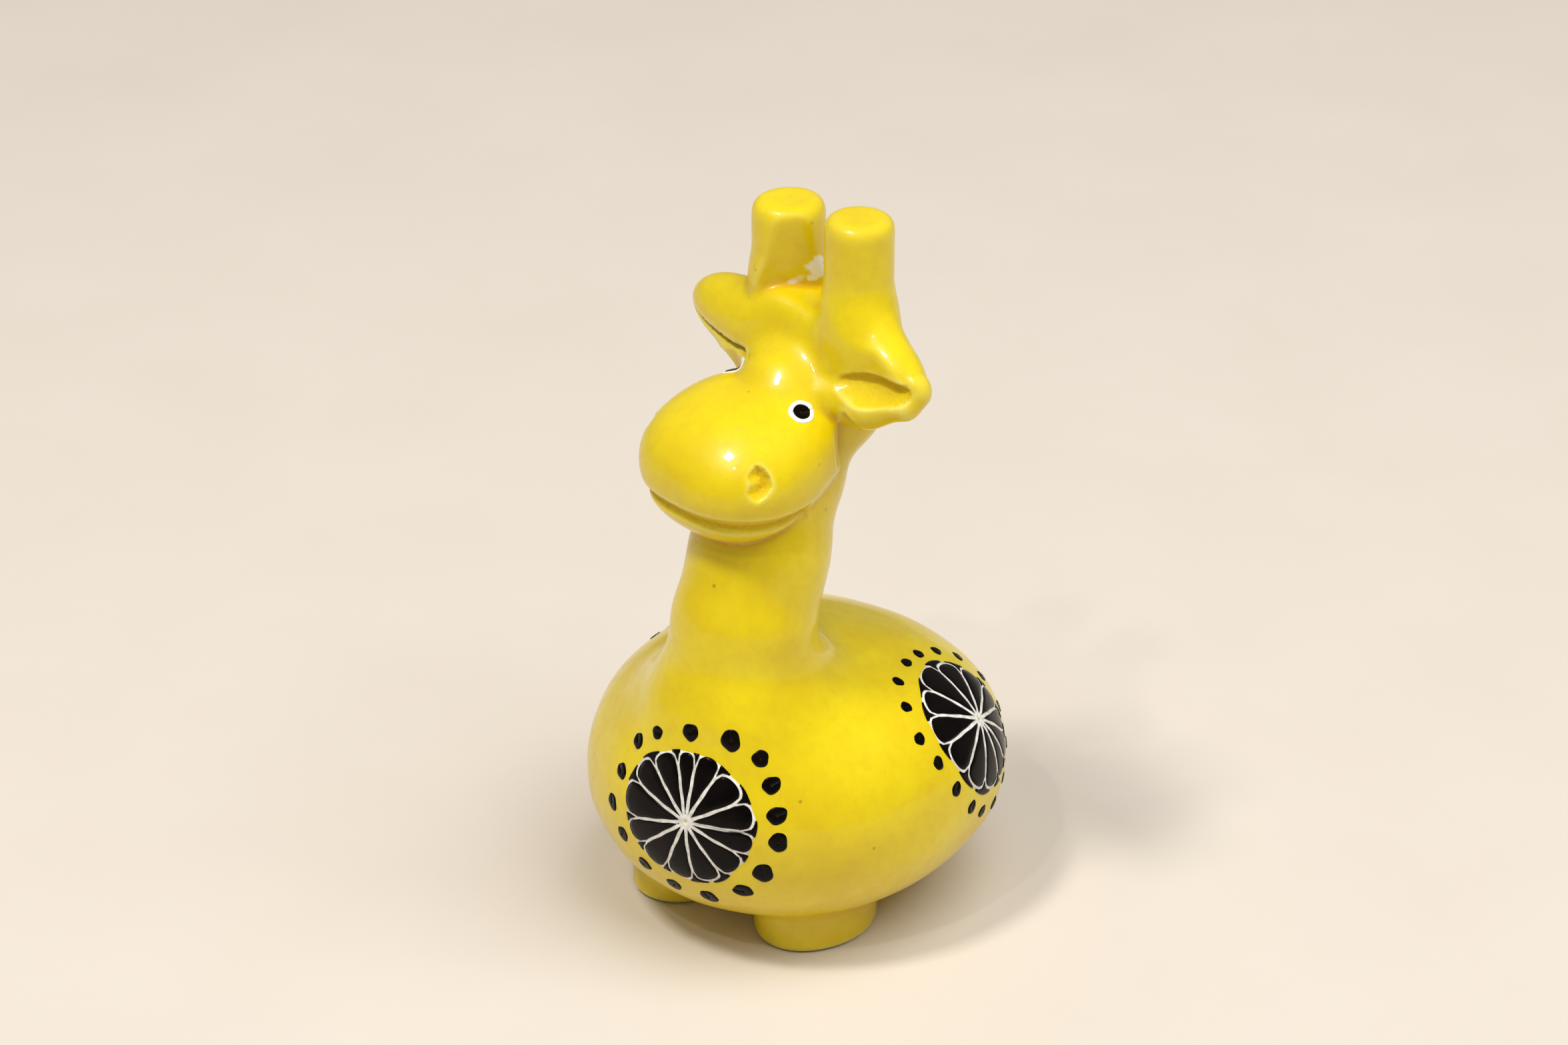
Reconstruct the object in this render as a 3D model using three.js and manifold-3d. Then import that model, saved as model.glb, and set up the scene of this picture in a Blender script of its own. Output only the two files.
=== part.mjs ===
// A small carved giraffe: one block of soapstone, with lacquer flowers, dots and eyes laid on its surface.
// Millimetres, +Z up. The giraffe looks along -Y, its own left side is +X, and its feet stand on z = 0.
// All of the stone is one solid. Each spot of paint is a thin curved solid of its own on the stone.

import * as THREE from "three";
import { mergeVertices } from "three/addons/utils/BufferGeometryUtils.js";
import Module from "manifold-3d";

const wasm = await Module();
wasm.setup();

// ---------------------------------------------------------------- driving dimensions

// The body is a squat rounded block. It widens a little towards the rump, and its belly is cut level.
const BODY_HEIGHT = 17.5; // of its centre
const BODY_RADII = new THREE.Vector3(25.3, 26.5, 17.3);
const BODY_SQUARENESS = 2.13; // 2 is an ellipsoid, and more is boxier
const RUMP_WIDENING = 0.0013; // per mm towards the rump
const RUMP_FLATTENING = 0.0017;
const BELLY_HEIGHT = 3.6;
const BELLY_ROUNDING = 4;

// The feet are short oval stubs: x, y of the centre, and the two half widths.
const FEET = [
  { x: 9.1, y: -7.4, across: 7.2, along: 8.8 }, // left front
  { x: -9.9, y: -9.9, across: 6.2, along: 7.2 }, // right front
  { x: 8.0, y: 8.0, across: 6.5, along: 7.0 }, // left rear
  { x: -10.3, y: 8.0, across: 6.5, along: 7.0 }, // right rear
];
const FOOT_TALL = 9;
const FOOT_EDGE = 0.8; // the worn lower edge

// The neck rises from the chest and leans back towards the head: x, y, z and radius at each station.
const NECK = [
  [1.0, -10.5, 22, 12.4],
  [1.2, -12.2, 31, 10.3],
  [1.2, -11.3, 41, 8.6],
  [1.1, -8.2, 50, 8.1],
  [1.0, -4.5, 60, 7.8],
  [0.9, -1.2, 70, 7.4],
];

// The head looks a little to the giraffe's right. Its own frame has -y forward and z at true height.
const HEAD_AXIS = new THREE.Vector3(0.7, -1.0, 0);
const HEAD_TURN = THREE.MathUtils.degToRad(-10.6);

// The face hangs nose down from the head: a broad muzzle that narrows to the brow.
const FACE_CENTRE = new THREE.Vector3(0, -9.6, 62.6);
const FACE_PITCH = THREE.MathUtils.degToRad(22);
const MUZZLE_RADII = new THREE.Vector3(12.0, 10.5, 8.2);
const MUZZLE_SQUARENESS = 2.35;
const CHEEKS = { radii: new THREE.Vector3(10.4, 7.6, 6.3), at: new THREE.Vector3(0, 4.6, -0.5) };
const BROW = { radii: new THREE.Vector3(6.2, 9.2, 6.8), at: new THREE.Vector3(1.0, 8.8, 1.4) };

// The crest is the upright slab behind the face that carries the ears and the horns.
const CREST = { radii: new THREE.Vector3(12, 6, 9.8), at: new THREE.Vector3(0, 3, 72.5) };
const EAR_FLATNESS = 0.75;
const EAR = [
  // out from the middle, y, z and radius
  [4.0, 3.0, 72.4, 6.8],
  [8.5, 2.9, 73.0, 6.2],
  [13.0, 2.6, 73.4, 5.2],
  [17.0, 2.4, 73.8, 3.6],
  [20.2, 2.3, 74.2, 2.0],
  [21.3, 2.3, 74.4, 0.9],
];
const RIGHT_EAR_RISE = 0.03; // mm per mm out, as the right ear sits higher than the left
const HORNS = [
  { x: 6.1, y: 4.6, top: 92.0, radius: 4.2 }, // left
  { x: -6.6, y: 4.6, top: 90.3, radius: 4.6 }, // right
];
const HORN_ROOT = 71; // hidden in the crest
const HORN_ROUNDING = 1.8;

// The carved hollows: nostrils, ears and the mouth groove, which is cut round the muzzle.
const NOSTRIL = { radii: new THREE.Vector3(1.5, 1.4, 2.2), at: new THREE.Vector3(9.9, -4.3, 4.5) };
const EAR_HOLLOW = { radii: new THREE.Vector3(5.2, 2.4, 1.9), at: new THREE.Vector3(13.4, -2.4, 71.8) };
const MOUTH_HEIGHT = 1.2; // above the middle of the muzzle, at its front
const MOUTH_GROOVE = 0.6; // radius of the cut
const MOUTH_HALF_SWEEP = THREE.MathUtils.degToRad(82);

// The paint: three flower panels, each in a ring of dots, and two eyes.
const PAINT_GAP = 0.2; // between the stone's facets and the underside of the film
const PAINT_THICK = 0.2;
const PANEL_RADIUS = 8.6;
const PANEL_RINGS = 5;
const DOT_RADIUS = 1.15;
// The dots are dabbed round a flower by eye: each one's degrees round the clock, and its distance out.
const CHEST_DOTS = [
  [359, 11.1], [21, 11.9], [39, 11.2], [58, 11.4], [76, 11.6], [92, 11.9], [115, 11.4], [136, 11.1],
  [165, 10.8], [192, 10.6], [216, 10.6], [240, 10.9], [261, 11.4], [285, 10.3], [311, 10.2], [334, 10.3],
];
const FLANK_DOTS = [
  [359, 10.8], [17, 10.6], [38, 10.7], [60, 11.2], [82, 11.0], [105, 10.8], [130, 10.6], [155, 10.5],
  [180, 10.4], [203, 10.3], [222, 10.2], [248, 10.1], [273, 10.3], [293, 11.1], [316, 11.1], [336, 11.4],
];
const PANELS = [
  { name: "chest", at: [6.5, 7.8], facing: [6.5, 7.8], dots: CHEST_DOTS, handed: 1 },
  { name: "left_flank", at: [113, 19], facing: [109, 37], dots: FLANK_DOTS, handed: 1 },
  { name: "right_flank", at: [-113, 19], facing: [-109, 37], dots: FLANK_DOTS, handed: -1 },
]; // degrees: azimuth from straight ahead towards the giraffe's left, then height above the level
const EYES = [
  { name: "left", at: new THREE.Vector3(7.2, 6.8, 5.2) },
  { name: "right", at: new THREE.Vector3(-6.3, 7.8, 4.2) },
]; // in the face's frame
const EYE = { ring: 1.6, pupil: 1.1, upturn: 1.5 };
const EYE_REACH = 4; // how far off the stone an eye is dropped from
const EYE_GAP = 0.08; // between the pupil and the ring round it, and between both and the stone

// ---------------------------------------------------------------- materials

const dyedStone = new THREE.MeshStandardMaterial({ color: 0xe3cf22, roughness: 0.32, metalness: 0 });
const blackLacquer = new THREE.MeshStandardMaterial({ color: 0x16100f, roughness: 0.2, metalness: 0 });
const whitePaint = new THREE.MeshStandardMaterial({ color: 0xe9e8e2, roughness: 0.45, metalness: 0 });

// ---------------------------------------------------------------- joining and cutting

function toSolid(geometry) {
  const bare = geometry.clone();
  bare.deleteAttribute("normal");
  bare.deleteAttribute("uv");
  const merged = mergeVertices(bare, 1e-4);
  return new wasm.Manifold(
    new wasm.Mesh({
      numProp: 3,
      vertProperties: new Float32Array(merged.attributes.position.array),
      triVerts: new Uint32Array(merged.index.array),
    }),
  );
}

function toGeometry(solid) {
  const mesh = solid.getMesh();
  const geometry = new THREE.BufferGeometry();
  geometry.setAttribute("position", new THREE.BufferAttribute(new Float32Array(mesh.vertProperties), 3));
  geometry.setIndex(new THREE.BufferAttribute(new Uint32Array(mesh.triVerts), 1));
  geometry.computeVertexNormals();
  return geometry;
}

// Moves each vertex of a geometry to wherever place(vertex) puts it.
function reshape(geometry, place) {
  const position = geometry.attributes.position;
  const vertex = new THREE.Vector3();
  for (let i = 0; i < position.count; i++) {
    vertex.fromBufferAttribute(position, i);
    place(vertex);
    position.setXYZ(i, vertex.x, vertex.y, vertex.z);
  }
  return geometry;
}

// ---------------------------------------------------------------- shapes

// A ball pulled out towards a box: |x/a|^n + |y/b|^n + |z/c|^n = 1, with its poles along z.
function roundedBlock(radii, squareness, around, upright) {
  const ball = new THREE.SphereGeometry(1, around, upright).rotateX(Math.PI / 2);
  return reshape(ball, (p) => {
    const sum = ["x", "y", "z"].reduce((total, axis) => total + Math.abs(p[axis]) ** squareness, 0);
    p.multiplyScalar(sum ** (-1 / squareness)).multiply(radii);
  });
}

// The larger of two values, with the corner between them rounded over the given width.
function softMax(a, b, width) {
  const near = Math.max(width - Math.abs(a - b), 0) / width;
  return Math.max(a, b) + (near * near * width) / 4;
}

// A tapering round bar along stations of [x, y, z, radius]. Flatness squeezes it across "side".
function bar(stations, side, flatness, around, steps) {
  const path = new THREE.CatmullRomCurve3(stations.map(([x, y, z]) => new THREE.Vector3(x, y, z)));
  const girth = new THREE.SplineCurve(stations.map(([, , , radius]) => new THREE.Vector2(radius, 0)));
  const rod = new THREE.CylinderGeometry(1, 1, 1, around, steps);
  return reshape(rod, (p) => {
    const along = p.y + 0.5;
    const forward = path.getTangent(along);
    const across = side.clone().addScaledVector(forward, -side.dot(forward)).normalize();
    const depth = new THREE.Vector3().crossVectors(across, forward);
    const radius = girth.getPoint(along).x;
    const x = p.x * radius;
    const z = p.z * radius * flatness;
    p.copy(path.getPoint(along)).addScaledVector(across, x).addScaledVector(depth, z);
  });
}

// ---------------------------------------------------------------- frames of the head

const headFrame = new THREE.Matrix4().makeRotationZ(HEAD_TURN).setPosition(HEAD_AXIS);
const faceFrame = new THREE.Matrix4()
  .makeRotationX(FACE_PITCH)
  .setPosition(FACE_CENTRE)
  .premultiply(headFrame);

function inFace(at) {
  return faceFrame.clone().multiply(new THREE.Matrix4().setPosition(at));
}

function inHead(at) {
  return headFrame.clone().multiply(new THREE.Matrix4().setPosition(at));
}

// ---------------------------------------------------------------- the stone

function body() {
  const block = roundedBlock(BODY_RADII, BODY_SQUARENESS, 44, 28);
  return reshape(block, (p) => {
    p.x *= 1 + RUMP_WIDENING * p.y;
    p.z *= 1 - RUMP_FLATTENING * p.y;
    p.z = softMax(p.z + BODY_HEIGHT, BELLY_HEIGHT, BELLY_ROUNDING / 4);
  });
}

function foot({ x, y, across, along }) {
  const profile = [
    new THREE.Vector2(0, 0),
    new THREE.Vector2(1 - FOOT_EDGE / across, 0),
    new THREE.Vector2(1, FOOT_EDGE),
    new THREE.Vector2(1, FOOT_TALL),
    new THREE.Vector2(0, FOOT_TALL),
  ];
  return new THREE.LatheGeometry(profile, 24)
    .rotateX(Math.PI / 2)
    .scale(across, along, 1)
    .translate(x, y, 0);
}

function neck() {
  return bar(NECK, new THREE.Vector3(1, 0, 0), 1, 26, 12);
}

function face() {
  const muzzle = roundedBlock(MUZZLE_RADII, MUZZLE_SQUARENESS, 32, 20).applyMatrix4(faceFrame);
  const cheeks = roundedBlock(CHEEKS.radii, 2.4, 26, 18).applyMatrix4(inFace(CHEEKS.at));
  const brow = roundedBlock(BROW.radii, 2, 28, 20).applyMatrix4(inFace(BROW.at));
  return [muzzle, cheeks, brow];
}

function ear(side) {
  const rise = side < 0 ? RIGHT_EAR_RISE : 0;
  const stations = EAR.map(([out, y, z, radius]) => [side * out, y, z + rise * out, radius]);
  return bar(stations, new THREE.Vector3(0, 0, 1), EAR_FLATNESS, 18, 11).applyMatrix4(headFrame);
}

// A horn is a blunt peg. Its root narrows and leans in, so that it starts inside the crest.
function horn({ x, y, top, radius }) {
  const tall = top - HORN_ROOT;
  const profile = new THREE.Path();
  profile.moveTo(0, 0);
  profile.lineTo(radius * 0.5, 0);
  profile.lineTo(radius * 1.08, tall * 0.3);
  profile.lineTo(radius, tall - HORN_ROUNDING);
  profile.absarc(radius - HORN_ROUNDING, tall - HORN_ROUNDING, HORN_ROUNDING, 0, Math.PI / 2);
  profile.lineTo(0, tall);
  return new THREE.LatheGeometry(profile.getPoints(3), 20)
    .rotateX(Math.PI / 2)
    .applyMatrix4(inHead(new THREE.Vector3(x, y, HORN_ROOT)));
}

function crest() {
  const slab = roundedBlock(CREST.radii, 2, 28, 18).applyMatrix4(inHead(CREST.at));
  return [slab, ear(1), ear(-1), ...HORNS.map(horn)];
}

function nostril(side) {
  const at = NOSTRIL.at.clone().setX(side * NOSTRIL.at.x);
  return roundedBlock(NOSTRIL.radii, 2, 12, 8).applyMatrix4(inFace(at));
}

function earHollow(side) {
  const at = EAR_HOLLOW.at.clone().setX(side * EAR_HOLLOW.at.x);
  return roundedBlock(EAR_HOLLOW.radii, 2, 16, 10).applyMatrix4(inHead(at));
}

// The groove follows the muzzle's own outline, and stays level while the face hangs nose down.
function mouthGroove() {
  const points = [];
  for (let i = 0; i <= 12; i++) {
    const angle = THREE.MathUtils.lerp(-MOUTH_HALF_SWEEP, MOUTH_HALF_SWEEP, i / 12);
    const p = new THREE.Vector3(Math.sin(angle), -Math.cos(angle), 0);
    const sum = Math.abs(p.x) ** MUZZLE_SQUARENESS + Math.abs(p.y) ** MUZZLE_SQUARENESS;
    p.multiplyScalar(sum ** (-1 / MUZZLE_SQUARENESS)).multiply(MUZZLE_RADII);
    points.push(p.setZ(MOUTH_HEIGHT - (p.y + MUZZLE_RADII.y) * Math.tan(FACE_PITCH)));
  }
  const section = new THREE.Shape();
  section.absarc(0, 0, MOUTH_GROOVE, 0, Math.PI * 2);
  const sweep = {
    extrudePath: new THREE.CatmullRomCurve3(points),
    steps: 22,
    curveSegments: 3,
  };
  return new THREE.ExtrudeGeometry(section, sweep).applyMatrix4(faceFrame);
}

function carvedStone() {
  const added = [body(), ...FEET.map(foot), neck(), ...face(), ...crest()];
  const cut = [nostril(1), nostril(-1), earHollow(1), earHollow(-1), mouthGroove()];
  let solid = toSolid(added[0]);
  for (const geometry of added.slice(1)) {
    solid = solid.add(toSolid(geometry));
  }
  for (const geometry of cut) {
    solid = solid.subtract(toSolid(geometry));
  }
  const stone = new THREE.Mesh(toGeometry(solid), dyedStone);
  stone.name = "carved_stone";
  return stone;
}

// ---------------------------------------------------------------- the paint

// A flat film of paint laid onto the stone. The film is drawn in a plane that faces the stone, and each
// of its vertices drops along the plane's normal until it meets the stone, and is lifted off square to it.
function layOnStone(stone, film, plane) {
  const x = new THREE.Vector3().setFromMatrixColumn(plane, 0);
  const y = new THREE.Vector3().setFromMatrixColumn(plane, 1);
  const out = new THREE.Vector3().setFromMatrixColumn(plane, 2);
  const origin = new THREE.Vector3().setFromMatrixPosition(plane);
  const down = out.clone().negate();
  const ray = new THREE.Raycaster();
  return reshape(film, (p) => {
    const start = origin.clone().addScaledVector(x, p.x).addScaledVector(y, p.y).addScaledVector(out, 30);
    ray.set(start, down);
    const [first] = ray.intersectObject(stone);
    const lift = PAINT_GAP + p.z * PAINT_THICK;
    p.copy(first.point).addScaledVector(first.face.normal, lift);
  });
}

// How far a flat film must be lifted off a plane to lie just clear of the stone.
function clearance(stone, film, plane) {
  const out = new THREE.Vector3().setFromMatrixColumn(plane, 2);
  const ray = new THREE.Raycaster();
  const above = film.clone().scale(1, 1, 0).translate(0, 0, EYE_REACH).applyMatrix4(plane);
  const spots = above.attributes.position;
  let fall = EYE_REACH;
  for (let i = 0; i < spots.count; i++) {
    ray.set(new THREE.Vector3().fromBufferAttribute(spots, i), out.clone().negate());
    fall = Math.min(fall, ray.intersectObject(stone)[0].distance);
  }
  return EYE_REACH - fall + EYE_GAP;
}

// A disc or ring one unit thick, lying in z = 0 to 1, with rings of vertices so that it can bend.
function flatFilm(inner, outer, rings, around) {
  const across = [];
  for (let i = 0; i <= rings; i++) {
    across.push(THREE.MathUtils.lerp(inner, outer, i / rings));
  }
  const under = across.map((radius) => new THREE.Vector2(radius, 0));
  const over = across.map((radius) => new THREE.Vector2(radius, 1)).reverse();
  const profile = [...under, ...over];
  if (inner > 0) {
    profile.push(under[0].clone());
  }
  return new THREE.LatheGeometry(profile, around).rotateX(Math.PI / 2);
}

// A plane at "at" that faces along "out", with its y axis as upright as it can be.
function planeFacing(at, out) {
  const side = new THREE.Vector3(0, 0, 1).cross(out).normalize();
  const up = new THREE.Vector3().crossVectors(out, side);
  return new THREE.Matrix4().makeBasis(side, up, out).setPosition(at);
}

function surfaceNormal(stone, from, towards) {
  const ray = new THREE.Raycaster(from, towards);
  const [first] = ray.intersectObject(stone);
  return { point: first.point, normal: first.face.normal.clone() };
}

function paintMesh(name, geometry, material) {
  const mesh = new THREE.Mesh(geometry, material);
  mesh.name = name;
  return mesh;
}

function direction([azimuth, height]) {
  const turn = THREE.MathUtils.degToRad(azimuth);
  const rise = THREE.MathUtils.degToRad(height);
  return new THREE.Vector3(Math.sin(turn) * Math.cos(rise), -Math.cos(turn) * Math.cos(rise), Math.sin(rise));
}

function flower(stone, { name, at, facing, dots, handed }) {
  const middle = new THREE.Vector3(0, 0, BODY_HEIGHT);
  const out = direction(at);
  const spot = surfaceNormal(stone, middle.clone().addScaledVector(out, 60), out.clone().negate());
  const plane = planeFacing(spot.point, direction(facing));
  const disc = layOnStone(stone, flatFilm(0, PANEL_RADIUS, PANEL_RINGS, 28), plane);
  const meshes = [paintMesh(name + "_panel", disc, blackLacquer)];
  dots.forEach(([clock, distance], i) => {
    const angle = THREE.MathUtils.degToRad(clock) * handed;
    const number = String(i + 1).padStart(2, "0");
    const x = distance * Math.sin(angle);
    const y = distance * Math.cos(angle);
    const dot = layOnStone(stone, flatFilm(0, DOT_RADIUS, 1, 12).translate(x, y, 0), plane);
    meshes.push(paintMesh(name + "_dot_" + number, dot, blackLacquer));
  });
  return meshes;
}

function eye(stone, { name, at }) {
  const middle = new THREE.Vector3(0, at.y, at.z - EYE.upturn).applyMatrix4(faceFrame);
  const place = at.clone().applyMatrix4(faceFrame);
  const out = place.clone().sub(middle).normalize();
  const spot = surfaceNormal(stone, place.clone().addScaledVector(out, EYE_REACH), out.clone().negate());
  const plane = planeFacing(spot.point, spot.normal);
  const lift = clearance(stone, flatFilm(0, EYE.ring, 4, 20), plane);
  const flat = (film) => film.scale(1, 1, PAINT_THICK).translate(0, 0, lift).applyMatrix4(plane);
  return [
    paintMesh(name + "_eye_ring", flat(flatFilm(EYE.pupil + EYE_GAP, EYE.ring, 2, 20)), whitePaint),
    paintMesh(name + "_eye_pupil", flat(flatFilm(0, EYE.pupil, 2, 20)), blackLacquer),
  ];
}

// ---------------------------------------------------------------- assembly

const giraffe = new THREE.Group();
const stone = carvedStone();
giraffe.add(stone);
for (const panel of PANELS) {
  giraffe.add(...flower(stone, panel));
}
for (const place of EYES) {
  giraffe.add(...eye(stone, place));
}

export default giraffe;
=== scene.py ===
"""Looks of the carved soapstone giraffe: stone, lacquer flowers, dots and eyes."""
from math import cos, pi, radians, sin

import bpy
import numpy as np
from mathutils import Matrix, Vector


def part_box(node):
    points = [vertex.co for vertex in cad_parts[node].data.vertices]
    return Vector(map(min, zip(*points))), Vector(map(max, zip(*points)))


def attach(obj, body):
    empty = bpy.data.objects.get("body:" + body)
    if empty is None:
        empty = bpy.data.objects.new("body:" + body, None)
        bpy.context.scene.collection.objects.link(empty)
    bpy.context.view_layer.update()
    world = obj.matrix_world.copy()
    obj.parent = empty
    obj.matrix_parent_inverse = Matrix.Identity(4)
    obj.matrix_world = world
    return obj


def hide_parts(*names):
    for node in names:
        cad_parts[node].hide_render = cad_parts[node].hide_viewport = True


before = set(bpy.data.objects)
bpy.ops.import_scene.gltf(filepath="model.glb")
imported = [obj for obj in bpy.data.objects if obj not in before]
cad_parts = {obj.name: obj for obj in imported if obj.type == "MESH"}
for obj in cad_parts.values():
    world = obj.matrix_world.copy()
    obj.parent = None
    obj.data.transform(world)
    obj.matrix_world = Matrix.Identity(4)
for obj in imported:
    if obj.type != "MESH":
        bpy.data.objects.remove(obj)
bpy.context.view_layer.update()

import openvdb
from mathutils import Vector

# ------------------------------------------------------------------ carved stone
# The whole giraffe is one block of Kenyan soapstone. It was rasped to shape, gouged with a knife
# at the nostrils, mouth and ears, sanded, dyed yellow and rubbed with wax.


def turned(axis, degrees):
    """A frame turned about one axis. Its columns are the new axes."""
    c, s = cos(radians(degrees)), sin(radians(degrees))
    rows = {"x": [[1, 0, 0], [0, c, -s], [0, s, c]],
            "y": [[c, 0, s], [0, 1, 0], [-s, 0, c]],
            "z": [[c, -s, 0], [s, c, 0], [0, 0, 1]]}
    return np.array(rows[axis], np.float32)


def join(a, b, soft):
    """Two shapes as one, with the corner between them filled over a width of soft mm."""
    near = np.clip(0.5 + 0.5 * (b - a) / soft, 0, 1)
    return b + (a - b) * near - soft * near * (1 - near)


def keep(a, b, soft):
    """What two shapes share."""
    return -join(-a, -b, soft)


def gouge(a, b, soft):
    """The first shape with the second cut out of it."""
    return -join(-a, b, soft)


def lump(p, centre, radii, squareness=2.0):
    """Distance in mm to a rounded lump. A squareness above 2 fills out its corners."""
    q = np.abs((p - np.float32(centre)) / np.float32(radii)) + 1e-6
    size = (q**squareness).sum(-1) ** (1 / squareness)
    slope = np.linalg.norm(q ** (squareness - 1) / np.float32(radii), axis=-1)
    return (size - 1) * size ** (squareness - 1) / slope


def rod(p, stations, soft=2.0, thin=(1, 1, 1)):
    """Distance to a tapering bar through stations of x, y, z and radius."""
    thin = np.float32(thin)
    q = p / thin
    made = None
    for (*a, ra), (*b, rb) in zip(stations, stations[1:]):
        a, b = np.float32(a) / thin, np.float32(b) / thin
        along = np.clip((q - a) @ (b - a) / ((b - a) @ (b - a)), 0, 1)
        part = np.linalg.norm(q - a - along[..., None] * (b - a), axis=-1) - (ra + (rb - ra) * along)
        made = part if made is None else join(made, part, soft)
    return made * thin.min()


feet_mm = ((9.1, -7.4, 7.2, 8.8), (-9.9, -9.9, 6.2, 7.2), (8.0, 8.0, 6.5, 7.0), (-10.3, 8.0, 6.5, 7.0))
neck_mm = ((1.0, -12.0, 22, 11.0), (1.2, -12.9, 32, 9.3), (1.2, -11.3, 42, 8.3), (1.1, -8.2, 50, 8.0),
           (1.0, -4.5, 60, 7.7), (0.9, -1.9, 68, 7.0))
head_at, head_turn = np.float32((0.7, -1.0, 0)), turned("z", -10.6)
face_at, face_turn = np.float32((0, -9.6, 62.6)), turned("x", 22)


def trunk(p):
    """Round body, four stub feet and the neck that flares out of the chest."""
    q = p - np.float32((0, 0, 17.5))
    q = np.stack([q[..., 0] / (1 + 0.0013 * q[..., 1]), q[..., 1],
                  q[..., 2] / (1 - 0.0017 * q[..., 1])], -1)
    body = keep(lump(q, (0, 0, 0), (25.3, 26.5, 17.3), 2.13) * 0.95, 3.6 - p[..., 2], 4)
    made = join(body, rod(p, neck_mm, 3), 8)
    for x, y, across, along in feet_mm:
        side = (np.hypot((p[..., 0] - x) / across, (p[..., 1] - y) / along) - 1) * min(across, along)
        made = join(made, keep(keep(side, p[..., 2] - 9, 1), -p[..., 2], 0.9), 0.9)
    return made


def crest(h):
    """The slab between the horns, both ears and both horns, in the head's own frame."""
    x, y, z = h[..., 0], h[..., 1], h[..., 2]
    made = keep(lump(h, (0, 3.4, 71), (11.0, 5.4, 10.6), 2.3), z - 79.7 + 0.12 * (x + 2), 1.6)
    left_ear = rod(h, [(5, 3.4, 72.6, 6.2), (12.5, 3.5, 73.9, 4.6), (17.8, 3.2, 74.0, 2.3)], 3, (1, 0.8, 1))
    right_ear = join(lump(h, (-11.2, 2.2, 73.8), (9.3, 4.2, 4.9), 1.85),
                     lump(h, (-6.5, 2.6, 73.4), (8.0, 5.0, 6.0)), 1.5)
    made = join(join(made, left_ear, 2), right_ear, 2)
    # The left ear's front is rubbed flat to a sharp ridge, and the right ear's is left full.
    flat = -(y + 0.9 - np.where(x > 0, 0.14 * np.clip(x - 1, 0, 12), -0.28 * np.clip(-x - 1, 0, 12)))
    made = keep(made, flat, 0.4 + 2.5 * np.clip(1.3 - np.abs(x) / 8, 0, 1))
    left_flap = rod(h, [(7.5, 0.4, 70.2, 2.4), (12.5, 0.6, 70.5, 1.9), (17.4, 1.9, 72.2, 1.9)], 3)
    right_flap = rod(h, [(-7.0, 0.2, 67.0, 1.5), (-10.6, 0.1, 70.4, 1.4), (-16.2, 1.0, 73.0, 0.9)], 2)
    made = join(join(made, left_flap, 1.0), right_flap, 1.0)
    right = rod(h, [(-5.2, 4.2, 72, 4.2), (-6.3, 4.6, 80, 4.6), (-6.6, 5, 90.3, 4.5)], 2)
    right = keep(right, z - 90.3, 2.2)
    rubbed_flat = (x + 6.5) * 0.80 - (y - 4.8) * 0.60 - (z - 88) * 0.13 - 4.0
    made = join(made, keep(right, rubbed_flat, 0.5), 0.8)
    left = rod(h, [(5.4, 4.2, 72, 4.4), (6.2, 4.6, 80, 4.3), (6.0, 5, 92, 4.3)], 2)
    # The horn runs straight into the left ear, but meets the crest in a sharp notch.
    return join(made, keep(left, z - 92, 1.9), 1.2 + 3.0 * np.clip((x - 5) / 3.5, 0, 1))


muzzle_mm = (12.0, 10.4, 7.9)


def face(h):
    """Muzzle, cheeks and brow, cut off square where the face meets the crest."""
    f = (h - face_at) @ face_turn
    made = join(lump(f, (0, 0, 0), muzzle_mm, 2.3), lump(f, (0, 6.0, -0.8), (10.6, 8.3, 5.9), 2.4), 2.5)
    made = join(made, lump(f, (1.5, 9.8, 0.9), (6.0, 8.8, 7.0)), 2.4)
    back = (h[..., 1] + 1.0 + 0.36 * np.maximum(h[..., 2] - 69.5, 0)) * 0.95
    return keep(made, back, 0.4)


def rasped(p):
    """The block before the knife: every big form, and the waviness a rasp leaves."""
    h = (p - head_at) @ head_turn
    made = np.minimum(trunk(p), join(rod(p, neck_mm[1:], 3), crest(h), 3.0))
    made = join(made, face(h), 0.5)
    x, y, z = p[..., 0], p[..., 1], p[..., 2]
    wave = np.sin(x * 0.45 + 1.3 * np.sin(z * 0.21)) * np.sin(y * 0.38 + 0.7) * np.sin(z * 0.33 + 0.4)
    return made + 0.10 * wave + 0.12


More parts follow.
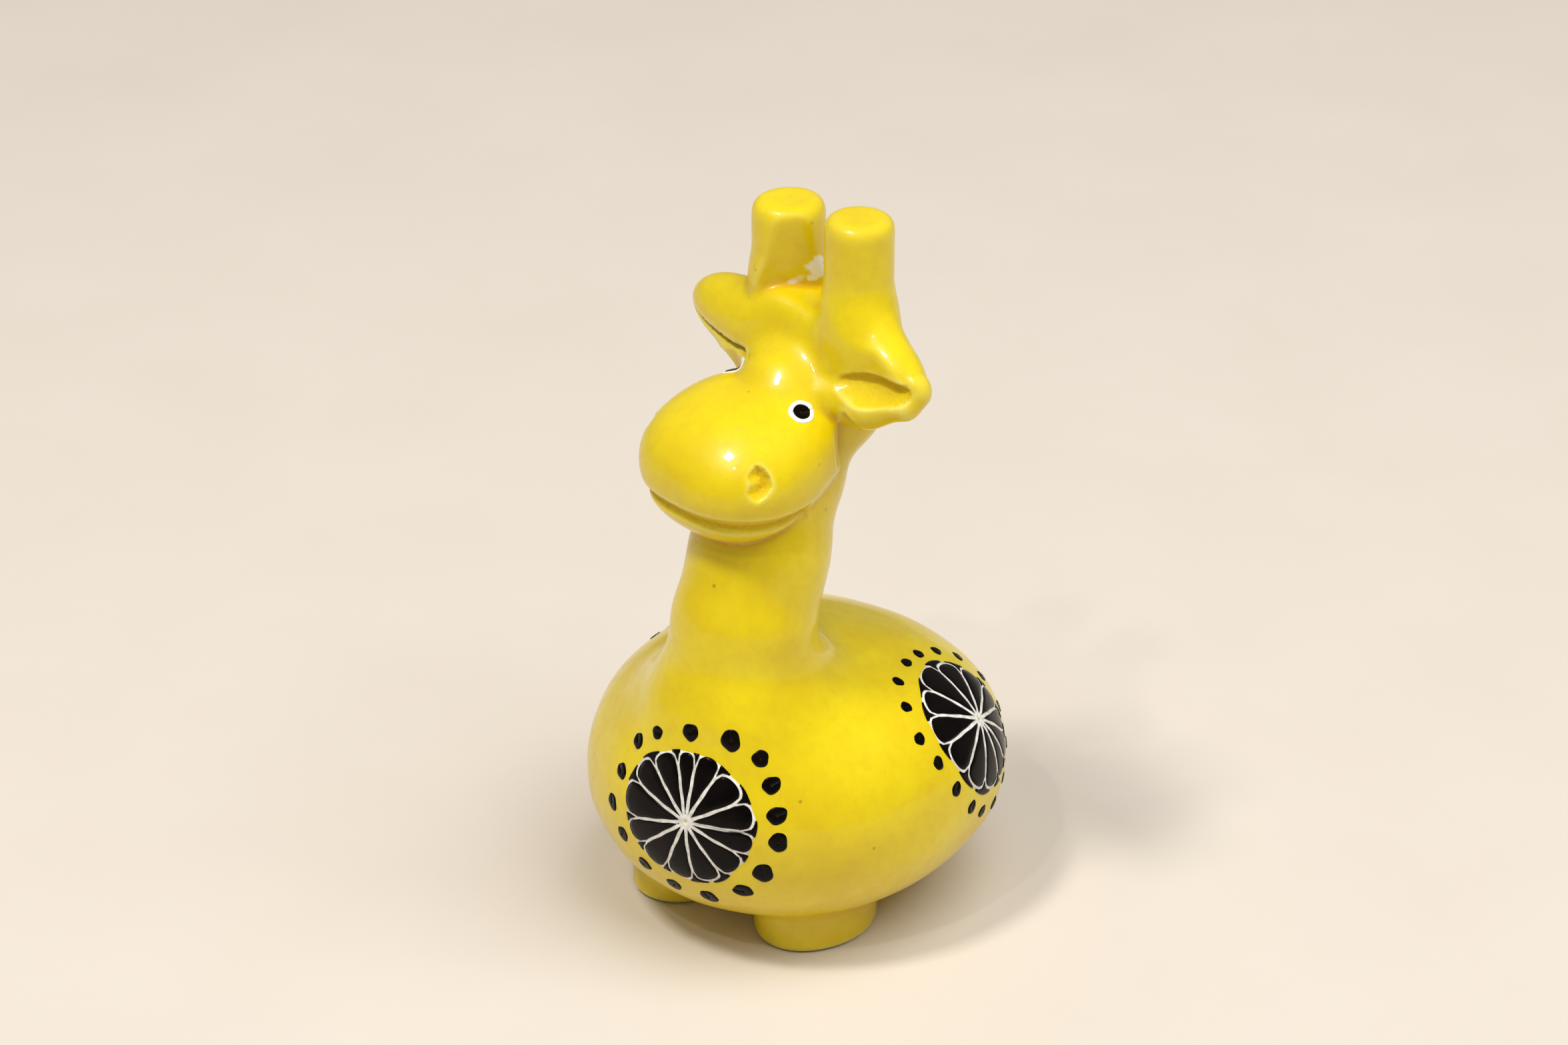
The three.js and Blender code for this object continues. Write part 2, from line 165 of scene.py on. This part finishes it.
def stone(p):
    """The finished carving: the rasped block with its knife work cut in."""
    made = rasped(p)
    h = (p - head_at) @ head_turn
    f = (h - face_at) @ face_turn
    left_ear = (h - np.float32((13.8, -0.5, 73.3))) @ turned("z", 13) @ turned("y", -6) @ turned("x", 30)
    made = gouge(made, lump(left_ear, (0, 0, 0), (5.8, 3.0, 1.25)), 0.25)
    right_ear = (h - np.float32((-10.8, -1.2, 72.4))) @ turned("z", -5) @ turned("y", 4) @ turned("x", 35)
    made = gouge(made, lump(right_ear, (0, 0, 0), (7.6, 2.1, 0.5)), 0.25)
    both = np.stack([np.abs(h[..., 0]), h[..., 1], h[..., 2]], -1)
    behind_cheek = (both - np.float32((11.0, -1.0, 66.3))) @ turned("x", -6)
    made = gouge(made, lump(behind_cheek, (0, 0, 0), (1.7, 1.6, 4.6)), 0.5)
    # Two chisel bites make each nostril: straight on its inner side and round on its outer side.
    both = np.stack([np.abs(f[..., 0]), f[..., 1], f[..., 2]], -1)
    bite = (both - np.float32((10.2, -5.0, 5.5))) @ turned("z", 30) @ turned("y", -18)
    scoop = lump(bite, (0, 0.1, -0.2), (2.1, 2.7, 3.1), 2.6)
    scoop = np.maximum(scoop, -(bite[..., 1] * 0.95 + 1.7 - 0.22 * bite[..., 2]))
    nicks = 0.10 * np.sin(2.6 * bite[..., 2] + 1.9 * bite[..., 1])
    scoop = np.maximum(scoop, -(bite[..., 0] * 0.8 + 1.45 - 0.30 * (bite[..., 1] + 1.8) + nicks))
    made = gouge(made, scoop, 0.15)
    # The mouth is a level cut under the muzzle, with a lower lip that slopes out and down from it.
    inside = lump(f, (0, 0, 0), muzzle_mm, 2.3) + 1.0
    level = h[..., 2] - 59.3
    mouth = np.maximum(level - 0.6, -0.5 - 1.1 * np.clip(inside, 0, 1.6) - level) * 0.7
    return gouge(made, np.maximum(np.maximum(mouth, -inside), (f[..., 1] - 1.2) * 0.6), 0.3)


def slope(p, reach=0.05):
    """Which way the stone faces at each point."""
    steps = np.eye(3, dtype=np.float32) * reach
    g = np.stack([stone(p + s) - stone(p - s) for s in steps], -1) / (2 * reach)
    return g / np.maximum(np.linalg.norm(g, axis=-1, keepdims=True), 1e-6)


def make_piece(name, points_mm, faces, material, nodes):
    """A smooth mesh object from points in mm, tied to the CAD nodes it stands for."""
    mesh = bpy.data.meshes.new(name)
    mesh.from_pydata((np.asarray(points_mm, float) / 1000).tolist(), [], [list(map(int, f)) for f in faces])
    mesh.validate()
    mesh.polygons.foreach_set("use_smooth", [True] * len(mesh.polygons))
    piece = bpy.data.objects.new(name, mesh)
    bpy.context.scene.collection.objects.link(piece)
    mesh.materials.append(material)
    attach(piece, "root")
    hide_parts(*nodes)
    return piece


def colour(code):
    """An sRGB hex colour as linear light."""
    parts = [int(code[i:i + 2], 16) / 255 for i in (1, 3, 5)]
    return [c / 12.92 if c <= 0.04045 else ((c + 0.055) / 1.055) ** 2.4 for c in parts] + [1.0]


def add(material, kind, inputs=None, **settings):
    """One shader node. An input given as another node's output is linked, anything else is set."""
    node = material.node_tree.nodes.new("ShaderNode" + kind)
    for name, value in settings.items():
        setattr(node, name, value)
    for name, value in (inputs or {}).items():
        socket = node.inputs[name]
        if isinstance(value, bpy.types.NodeSocket):
            material.node_tree.links.new(value, socket)
        else:
            socket.default_value = value
    return node.outputs


def new_material(name):
    material = bpy.data.materials.new(name)
    material.use_nodes = True
    material.node_tree.nodes.clear()
    return material


dyed_soapstone = new_material("dyed soapstone, waxed")
# Yellow dye sits thin on rubbed edges, so edges are pale. Creases are painted a darker orange: partly dye
# sunk deep in the pores, partly painted shade. The wax gives a soft wide shine with small sharp highlights.
# Blotches of dye are 11 mm across, the grain is 1.6 mm, dark flecks lie about 4 mm apart and the crumbs in a
# knife cut are 0.5 mm.
m = dyed_soapstone
where = add(m, "TexCoord")["Object"]
clouds = add(m, "TexNoise", {"Vector": where, "Scale": 1 / 0.011, "Detail": 4, "Roughness": 0.55})[0]
grain = add(m, "TexNoise", {"Vector": where, "Scale": 1 / 0.0016, "Detail": 5, "Roughness": 0.65})[0]
flecks = add(m, "TexVoronoi", {"Vector": where, "Scale": 1 / 0.0042, "Randomness": 1.0})["Distance"]
crumbs = add(m, "TexNoise", {"Vector": where, "Scale": 1 / 0.0005, "Detail": 3})[0]
worn, crease_dye_and_painted_shade, knifed, bare = (add(m, "Attribute", attribute_name=name)["Fac"]
                               for name in ("worn", "crease_dye_and_painted_shade", "knifed", "bare"))
blotched = add(m, "MapRange", {0: clouds, 1: 0.35, 2: 0.68})[0]
dye = add(m, "Mix", {0: blotched, 6: colour("#E6CF08"), 7: colour("#DCC006")}, data_type="RGBA")[2]
# Each tint goes over the last one: darker grain, orange creases (dye in the pores plus painted shade), fresh
# cuts and pale rubbed edges.
tints = ((grain, 0.45, 0.75, 0.35, "#D2AE10"), (crease_dye_and_painted_shade, 0, 1, 0.7, "#CE970A"),
         (knifed, 0, 1, 0.45, "#E8CC12"), (worn, 0, 1, 0.6, "#F1E678"))
for mask, low, high, strongest, tint in tints:
    share = add(m, "MapRange", {0: mask, 1: low, 2: high, 4: strongest})[0]
    dye = add(m, "Mix", {0: share, 6: dye, 7: colour(tint)}, data_type="RGBA")[2]
speck = add(m, "MapRange", {0: flecks, 1: 0.035, 2: 0.075, 3: 1, 4: 0})[0]
some_of_them = add(m, "MapRange", {0: clouds, 1: 0.5, 2: 0.56})[0]
speck = add(m, "Math", {0: speck, 1: some_of_them}, operation="MULTIPLY")[0]
speck = add(m, "MapRange", {0: speck, 4: 0.55})[0]
dye = add(m, "Mix", {0: speck, 6: dye, 7: colour("#6E5214")}, data_type="RGBA")[2]
dye = add(m, "Mix", {0: bare, 6: dye, 7: colour("#EFEDE2")}, data_type="RGBA")[2]
rubbed = add(m, "MapRange", {0: grain, 1: 0.3, 2: 0.7, 3: 0.30, 4: 0.42})[0]
cut_dulls = add(m, "MapRange", {0: knifed, 4: 0.28})[0]
rough = add(m, "Math", {0: rubbed, 1: cut_dulls}, operation="ADD")[0]
wax = add(m, "MapRange", {0: knifed, 2: 0.8, 3: 0.5, 4: 0.1})[0]
dents = add(m, "Bump", {"Height": clouds, "Distance": 0.00025, "Strength": 0.5})["Normal"]
dents = add(m, "Bump", {"Height": grain, "Distance": 0.00006, "Strength": 0.5, "Normal": dents})["Normal"]
knife_crumbs = add(m, "Math", {0: crumbs, 1: knifed}, operation="MULTIPLY")[0]
dents = add(m, "Bump", {"Height": knife_crumbs, "Distance": 0.00025, "Strength": 0.8,
                        "Normal": dents})["Normal"]
shade = add(m, "BsdfPrincipled", {"Base Color": dye, "Roughness": rough, "Normal": dents, "IOR": 1.5,
                                  "Coat Weight": wax, "Coat Roughness": 0.05, "Coat IOR": 1.44,
                                  "Subsurface Weight": 0.04, "Subsurface Scale": 0.0008,
                                  "Specular IOR Level": 0.35})[0]
add(m, "OutputMaterial", {"Surface": shade})

# The block is filled with cells of this many mm, eight to a side of each chunk. Only chunks near the
# surface are worked out in full, and distances are held within the skin on both sides of it.
fineness = 0.36
corner, extent = np.float32((-27, -28, -1.5)), (54, 56, 95)
chunk, skin, batch = 8, 2.0, 200000
chunks = np.stack(np.meshgrid(*[np.arange(int(n / fineness / chunk) + 1) for n in extent],
                              indexing="ij"), -1).reshape(-1, 3)
middles = corner + np.float32((chunks + 0.5) * chunk * fineness)
distance = stone(middles)
close_by = chunks[np.abs(distance) < chunk * fineness + 1.5]
within = np.stack(np.meshgrid(*[np.arange(chunk)] * 3, indexing="ij"), -1).reshape(-1, 3)
cells = (close_by[:, None] * chunk + within[None]).reshape(-1, 3)
whole = np.sign(distance).reshape(chunks.max(0) + 1) * skin
for axis in range(3):
    whole = np.repeat(whole, chunk, axis)
whole = whole.astype(np.float32)
for start in range(0, len(cells), batch):
    some = cells[start:start + batch]
    whole[tuple(some.T)] = np.clip(stone(corner + np.float32(some) * fineness), -skin, skin)
level = openvdb.FloatGrid(skin)
level.copyFromArray(whole)
surface_points, surface_quads = level.convertToQuads(0.0)
surface_points = (surface_points * fineness + corner).astype(np.float32)
for _ in range(2):
    surface_points -= stone(surface_points)[:, None] * slope(surface_points) * 0.9
surface_points[:, 2] = np.maximum(surface_points[:, 2], 0)
giraffe = make_piece("giraffe_carving", surface_points, surface_quads[:, ::-1], dyed_soapstone,
                     ["carved_stone"])


def mark_points(piece, name, values):
    layer = piece.data.attributes.new(name, "FLOAT", "POINT")
    layer.data.foreach_set("value", np.asarray(values, np.float32))


def bend(p, reach):
    """How sharply the stone bends: above zero on edges, below zero in creases."""
    total = sum(stone(p + s * np.eye(3, dtype=np.float32)[i] * reach) for i in range(3) for s in (1, -1))
    return (total - 6 * stone(p)) / reach**2


# A chip beside the left horn and a scrape along the ledge below it both show white stone.
curve = bend(surface_points, 0.7)
cut_depth = -rasped(surface_points)
above_neck = np.clip((surface_points[:, 2] - 55) / 2, 0, 1)
in_head = (surface_points - head_at) @ head_turn
from_chip = in_head - np.float32((-1.9, 5.5, 82.1))
chip = np.linalg.norm(from_chip * np.float32((1, 1, 0.8)), axis=-1)
chip += 0.5 * np.sin(from_chip[:, 0] * 3.1 + 1) * np.sin(from_chip[:, 2] * 3.7)
scrape_from, scrape_to = np.float32((-5.2, 2.5, 80.0)), np.float32((-2.6, 4.2, 81.2))
run = scrape_to - scrape_from
along_scrape = np.clip((in_head - scrape_from) @ run / (run @ run), 0, 1)
scrape = np.linalg.norm(in_head - scrape_from - along_scrape[:, None] * run, axis=-1)
mark_points(giraffe, "worn", np.clip((curve - 0.45) / 1.3, 0, 1))
# Concave places get the orange crease tint: partly dye in the pores, partly painted shade.
mark_points(giraffe, "crease_dye_and_painted_shade", np.clip((-curve - 0.15) / 1.1, 0, 1))
mark_points(giraffe, "knifed", np.clip((cut_depth - 0.05) / 0.25, 0, 1) * above_neck)
mark_points(giraffe, "bare", np.maximum(np.clip((1.35 - chip) / 0.2, 0, 1),
                                        np.clip((0.42 - scrape) / 0.3, 0, 0.5)))

# ------------------------------------------------------------------ flower panels
# Each flower is a round patch of black lacquer brushed on the stone. Twelve or thirteen petals were
# then outlined with a needle, which scratched through the lacquer and the dye to the white stone.

black_lacquer = new_material("black enamel lacquer, brushed")
# Thick brown-black enamel. It shows as deep black with a low satin sheen and faint brush drag: the
# drag lines are 1.2 mm apart and the thinner, browner spots are 4 mm across.
m = black_lacquer
where = add(m, "TexCoord")["Object"]
drag = add(m, "TexNoise", {"Vector": where, "Scale": 1 / 0.0012, "Detail": 4})[0]
thin_spots = add(m, "TexNoise", {"Vector": where, "Scale": 1 / 0.004, "Detail": 3})[0]
thin_spots = add(m, "MapRange", {0: thin_spots, 1: 0.4, 2: 0.75})[0]
paint = add(m, "Mix", {0: thin_spots, 6: colour("#040202"), 7: colour("#120A08")}, data_type="RGBA")[2]
satin = add(m, "MapRange", {0: drag, 1: 0.3, 2: 0.7, 3: 0.16, 4: 0.30})[0]
ripple = add(m, "Bump", {"Height": drag, "Distance": 0.00004, "Strength": 0.6})["Normal"]
shade = add(m, "BsdfPrincipled", {"Base Color": paint, "Roughness": satin, "Normal": ripple,
                                  "IOR": 1.45, "Specular IOR Level": 0.12,
                                  "Coat Weight": 0.03, "Coat Roughness": 0.08})[0]
add(m, "OutputMaterial", {"Surface": shade})

scratched_stone = new_material("bare soapstone, needle scratched")
# Raw white powdery stone at the bottom of a scratch: dull, uneven, slightly dirty. Its powder is
# drawn at 0.7 mm, coarser than it is, so that it shows.
m = scratched_stone
where = add(m, "TexCoord")["Object"]
dust = add(m, "TexNoise", {"Vector": where, "Scale": 1 / 0.0007, "Detail": 4})[0]
dirty = add(m, "MapRange", {0: dust, 1: 0.35, 2: 0.7})[0]
raw = add(m, "Mix", {0: dirty, 6: colour("#F1EFEA"), 7: colour("#C9C5BA")}, data_type="RGBA")[2]
furrow = add(m, "Bump", {"Height": dust, "Distance": 0.00008, "Strength": 0.7})["Normal"]
shade = add(m, "BsdfPrincipled", {"Base Color": raw, "Roughness": 0.8, "Normal": furrow, "IOR": 1.5})[0]
add(m, "OutputMaterial", {"Surface": shade})


def onto_stone(a, b, patch):
    """Places on a patch, pushed straight back until they touch the stone."""
    at, along, upward, out = patch
    p = np.float32(at + a[..., None] * along + b[..., None] * upward)
    for _ in range(6):
        gap = stone(p)
        fall = np.maximum((stone(p + np.float32(out) * 0.05) - gap) / 0.05, 0.25)
        p = p - (gap / fall)[..., None] * np.float32(out)
    return p


def film(a, b, thickness, patch, base=0.0):
    """A thin film over a grid of places, rounded down to the stone at its edges."""
    rows, columns = a.shape
    s = np.abs(np.linspace(-1, 1, rows))[:, None]
    t = np.abs(np.linspace(-1, 1, columns))[None, :]
    rise = thickness * (1 - np.maximum(s, t) ** 5 * 0.8) + base
    under = onto_stone(a, b, patch)
    facing = slope(under)
    top, bottom = under + facing * rise[..., None], under - facing * 0.02
    points = np.concatenate([top.reshape(-1, 3), bottom.reshape(-1, 3)])
    n = rows * columns
    faces = []
    for i in range(rows - 1):
        for j in range(columns - 1):
            k = i * columns + j
            faces.append((k, k + 1, k + columns + 1, k + columns))
            faces.append((n + k, n + k + columns, n + k + columns + 1, n + k + 1))
    ring = [j for j in range(columns)] + [i * columns + columns - 1 for i in range(1, rows)]
    ring += [(rows - 1) * columns + j for j in range(columns - 2, -1, -1)]
    ring += [i * columns for i in range(rows - 2, 0, -1)]
    for k, l in zip(ring, ring[1:] + ring[:1]):
        faces.append((l, k, n + k, n + l))
    return points, faces


def put_together(parts):
    """Points and faces of several films as one list of each."""
    points, faces, start = [], [], 0
    for p, f in parts:
        points.append(p)
        faces += [tuple(start + k for k in face) for face in f]
        start += len(p)
    return np.concatenate(points), faces


def place_on(node):
    """Centre of a CAD piece, dropped on the stone, with the axes of a patch painted there."""
    low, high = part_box(node)
    p = np.float32([(low[i] + high[i]) * 500 for i in range(3)])[None]
    for _ in range(12):
        p = p - stone(p)[:, None] * slope(p) * 0.8
    out = slope(p, 1.0)[0]
    along = np.cross((0, 0, 1), out)
    along /= np.linalg.norm(along)
    return p[0], along, np.cross(out, along), out


def look(azimuth, height):
    """A direction: degrees round from the front to the giraffe's left, then up from level."""
    a, e = radians(azimuth), radians(height)
    return np.array((sin(a) * cos(e), -cos(a) * cos(e), sin(e)))


def flower_place(at, facing):
    """The middle of a flower, found by looking out from the body's centre, and its axes."""
    p = np.float32((0, 0, 17.5) + 60 * look(*at))[None]
    for _ in range(60):
        p = p - stone(p)[:, None] * np.float32(look(*at)) * 0.8
    out = look(*facing)
    along = np.cross((0, 0, 1), out)
    along /= np.linalg.norm(along)
    return p[0], along, np.cross(out, along), out


# Each flower: where it is and which way it faces in degrees, the middle and half sizes of its patch,
# its heart, and the directions of its petal lines. The right flank is the left one mirrored.
chest_lines = (108, 89, 65, 31, 2, -22, -53, -84, -113, -141, -165, 162, 136)
flank_lines = (114, 77, 44, 13, -14, -41, -68, -91, -124, -157, 171, 142)
flowers = (("chest_panel", (6.5, 7.8), (6.5, 7.8), (0.3, 0.3), (9.1, 8.6), (0.95, 0.31), chest_lines, 1),
           ("left_flank_panel", (113, 19), (109, 37), (0, 0.2), (8.6, 8.8), (0.5, -0.1), flank_lines, 1),
           ("right_flank_panel", (-113, 19), (-109, 37), (0, 0.2), (8.6, 8.8), (0.5, -0.1), flank_lines, -1))
lacquer_mm, bed_mm = 0.09, 0.05
heart_mm, petal_gap_mm, petal_roundness = 1.0, 0.32, 2.3
for panel, at, facing, middle, half_sizes, heart, lines, mirror in flowers:
    spot = flower_place(at, facing)
    hand = np.random.default_rng(7 + len(panel))
    middle, half_sizes, heart = np.array(middle), np.array(half_sizes), np.array(heart)
    spokes = np.sort(np.radians(np.array(lines)) % (2 * pi))

    def rim(angle):
        """Distance from the flower's heart to the edge of the patch, with the brush's wobble."""
        d = np.stack([np.cos(angle), np.sin(angle)], -1)
        a = ((d / half_sizes) ** 2).sum(-1)
        b = (d * (heart - middle) / half_sizes**2).sum(-1)
        c = (((heart - middle) / half_sizes) ** 2).sum() - 1
        return (-b + np.sqrt(b * b - a * c)) / a + 0.12 * np.sin(5 * angle + 1) + 0.08 * np.sin(11 * angle)

    def brushed(angles, r, thickness, base):
        """A film at angles and distances from the heart, turned over on the mirrored flank."""
        a, b = heart[0] + r * np.cos(angles), heart[1] + r * np.sin(angles)
        points, faces = film(a * mirror, b, thickness, spot, base)
        return points, faces if mirror > 0 else [f[::-1] for f in faces]

    petals = []
    petal_ends = []
    for first, second in zip(spokes, np.append(spokes[1:], spokes[0] + 2 * pi)):
        tip = rim((first + second) / 2) - 0.25 + hand.uniform(-0.35, 0.25)
        notch = rim(first) * hand.uniform(0.76, 0.82)
        next_notch = rim(second) * 0.79
        u = np.linspace(0, 1, 13)
        angles = first + (second - first) * u
        root = notch + (next_notch - notch) * u
        arch = (1 - np.abs(2 * u - 1) ** petal_roundness) ** (1 / petal_roundness)
        end = root + (tip - root) * arch
        petal_ends.append((angles, end))
        r = heart_mm + (end[None] - heart_mm) * np.linspace(0, 1, 16)[:, None]
        # The needle pressed harder near the heart, so half a line is 0.25 mm there and less outside.
        half_line = 0.25 - 0.07 * r / 8 + 0.03 * np.sin(2.3 * r + 9 * first)
        margin = np.arcsin(np.clip(half_line / r, 0, 0.9))
        squeezed = first + margin + (second - first - 2 * margin) * u[None]
        petals.append(brushed(squeezed, r, lacquer_mm, bed_mm))
    # Between two petal ends a small three-cornered scrap of lacquer is left at the rim.
    for (before_angles, before_end), (after_angles, after_end) in zip(petal_ends,
                                                                      petal_ends[1:] + petal_ends[:1]):
        shift = 2 * pi if after_angles[0] < before_angles[-1] - 1 else 0
        angles = np.concatenate([before_angles[7:], after_angles[1:6] + shift])
        inner = np.concatenate([before_end[7:], after_end[1:6]]) + petal_gap_mm
        outer = rim(angles)
        wide = outer - inner > 0.12
        if wide.sum() >= 3:
            r = inner[wide] + (outer - inner)[wide] * np.linspace(0, 1, 6)[:, None]
            petals.append(brushed(angles[wide], r, lacquer_mm, bed_mm))
    points, faces = put_together(petals)
    make_piece(panel + "_lacquer", points, faces, black_lacquer, [panel])

    # The scratches show the bare stone, so one thin white disc lies under all the petals.
    angles = np.linspace(0, 2 * pi, 73)
    r = np.linspace(0.02, 1, 20)[:, None] * (rim(angles)[None] - 0.12)
    points, faces = brushed(angles, r, 0.03, 0.01)
    make_piece(panel + "_scratched_lines", points, faces, scratched_stone, [panel])

# ------------------------------------------------------------------ dots
# Sixteen dots ring each flower. Each is one touch of a loaded brush, so no two are the same oval and
# the lacquer stands a little proud in the middle.

# Radii in mm, clockwise from the top. The brush was fullest low on the chest's left.
hand = np.random.default_rng(3)
chest_dots = (1.1, 1.28, 1.05, 1.12, 1.18, 1.2, 1.32, 1.18, 1.25, 1.15, 1.05, 1.05, 1.05, 1.0, 1.0, 0.88)
flank_dots = (0.78, 0.76, 0.8, 0.78, 0.82, 0.86, 0.8, 0.78, 0.84, 0.82, 0.86, 0.88, 0.84, 0.82, 0.76, 0.74)
for place, radii in (("chest", chest_dots), ("left_flank", flank_dots), ("right_flank", flank_dots)):
    for number, big in enumerate(radii, 1):
        node = f"{place}_dot_{number:02d}"
        long = hand.uniform(1.0, 1.12)
        lean = hand.uniform(0, pi)
        ring = np.linspace(0, 2 * pi, 29)
        edge = big * (1 + 0.05 * np.sin(3 * ring + lean * 2) + 0.03 * np.sin(5 * ring))
        r = np.linspace(0.03, 1, 7)[:, None] * edge[None]
        x, y = r * np.cos(ring) * long, r * np.sin(ring) / long
        a, b = x * cos(lean) - y * sin(lean), x * sin(lean) + y * cos(lean)
        points, faces = film(a, b, 0.14, place_on(node))
        make_piece(node + "_lacquer", points, faces, black_lacquer, [node])

# ------------------------------------------------------------------ eyes
# A ring of white paint with a black pupil dropped in its middle, both dabbed on with a fine brush.
# The ring went on first, so the pupil stands a little higher and laps over its inner edge.

white_paint = new_material("white enamel paint, dabbed")
# Thick opaque white with a soft shine and small brush ridges 0.6 mm apart.
m = white_paint
where = add(m, "TexCoord")["Object"]
dab = add(m, "TexNoise", {"Vector": where, "Scale": 1 / 0.0006, "Detail": 3})[0]
greyed = add(m, "MapRange", {0: dab, 1: 0.35, 2: 0.7})[0]
paint = add(m, "Mix", {0: greyed, 6: colour("#F3F2EC"), 7: colour("#DAD8CE")}, data_type="RGBA")[2]
ridges = add(m, "Bump", {"Height": dab, "Distance": 0.00005, "Strength": 0.6})["Normal"]
shade = add(m, "BsdfPrincipled", {"Base Color": paint, "Roughness": 0.42, "Normal": ridges, "IOR": 1.5})[0]
add(m, "OutputMaterial", {"Surface": shade})

# Each eye's place is in the face's own frame, in mm. The carver set them slightly unevenly.
for side, place in (("left", (7.25, 6.8, 5.3)), ("right", (-6.3, 7.8, 4.4))):
    in_face = np.float32(place) @ face_turn.T + face_at
    p = (in_face @ head_turn.T + head_at)[None]
    for _ in range(12):
        p = p - stone(p)[:, None] * slope(p) * 0.8
    out = slope(p, 0.8)[0]
    along = np.cross((0, 0, 1), out)
    along /= np.linalg.norm(along)
    spot = p[0], along, np.cross(out, along), out
    ring = np.linspace(0, 2 * pi, 41)
    for part, inner, outer, material, slot, height in (
            ("eye_ring", 0.95, 1.62, white_paint, "white_paint", 0.10),
            ("eye_pupil", 0.03, 1.12, black_lacquer, "black_lacquer", 0.17)):
        edge = outer * (1 + 0.04 * np.sin(2 * ring + 1) + 0.02 * np.sin(5 * ring))
        r = inner + (edge - inner)[None] * np.linspace(0, 1, 7)[:, None]
        points, faces = film(r * np.cos(ring), r * np.sin(ring), height, spot)
        make_piece(f"{side}_{part}_paint", points, faces, material, [f"{side}_{part}"])

# ------------------------------------------------------------------ floor, light and camera
# A plain pale table top. Daylight comes from high in front, more comes from above the giraffe's left
# without a mirror image of its own, and a small bare lamp adds a sharp highlight.

pale_board = new_material("pale board, matt")
# Flat off-white board with a barely visible mottle, 30 mm across.
m = pale_board
where = add(m, "TexCoord")["Object"]
mottle = add(m, "TexNoise", {"Vector": where, "Scale": 1 / 0.03, "Detail": 3})[0]
tone = add(m, "Mix", {0: mottle, 6: colour("#DCD3C8"), 7: colour("#D6CCC0")}, data_type="RGBA")[2]
shade = add(m, "BsdfPrincipled", {"Base Color": tone, "Roughness": 0.6})[0]
add(m, "OutputMaterial", {"Surface": shade})
mesh = bpy.data.meshes.new("floor")
mesh.from_pydata([(-3, -3, 0), (3, -3, 0), (3, 3, 0), (-3, 3, 0)], [], [(0, 1, 2, 3)])
mesh.materials.append(pale_board)
floor = bpy.data.objects.new("floor", mesh)
bpy.context.scene.collection.objects.link(floor)


def shine(name, at, aim, watts, size, tint, mirrored=True):
    """A square lamp in metres. One that isn't mirrored lights the stone but leaves no highlight."""
    light = bpy.data.lights.new(name, "AREA")
    light.energy, light.size, light.color = watts, size, colour(tint)[:3]
    lamp = bpy.data.objects.new(name, light)
    lamp.location = at
    lamp.rotation_euler = (Vector(aim) - Vector(at)).to_track_quat("-Z", "Y").to_euler()
    lamp.visible_glossy = mirrored
    bpy.context.scene.collection.objects.link(lamp)


shine("window", (-0.20, -0.50, 1.12), (0, 0, 0.04), 7.6, 0.18, "#FFFBF4")
shine("sky", (0.45, 0.06, 1.0), (0, 0, 0.03), 10.0, 0.9, "#FFFFFF", False)
shine("bulb", (0.06, -0.60, 0.85), (0, 0, 0.05), 0.8, 0.035, "#FFFFFF")
world = bpy.data.worlds.new("room")
bpy.context.scene.world = world
world.use_nodes = True
world.node_tree.nodes["Background"].inputs["Color"].default_value = colour("#F4F1EC")
world.node_tree.nodes["Background"].inputs["Strength"].default_value = 0.27

lens = bpy.data.cameras.new("camera")
lens.lens, lens.sensor_width = 107.6, 36
camera = bpy.data.objects.new("camera", lens)
# The standard view keeps the yellow as strong as it is.
bpy.context.scene.view_settings.view_transform = "Standard"
camera.location = (0.3094, -0.3983, 0.3181)
aim = Vector((-0.0089, 0.0093, 0.0431)) - camera.location
camera.rotation_euler = aim.to_track_quat("-Z", "Y").to_euler()
bpy.context.scene.collection.objects.link(camera)
bpy.context.scene.camera = camera
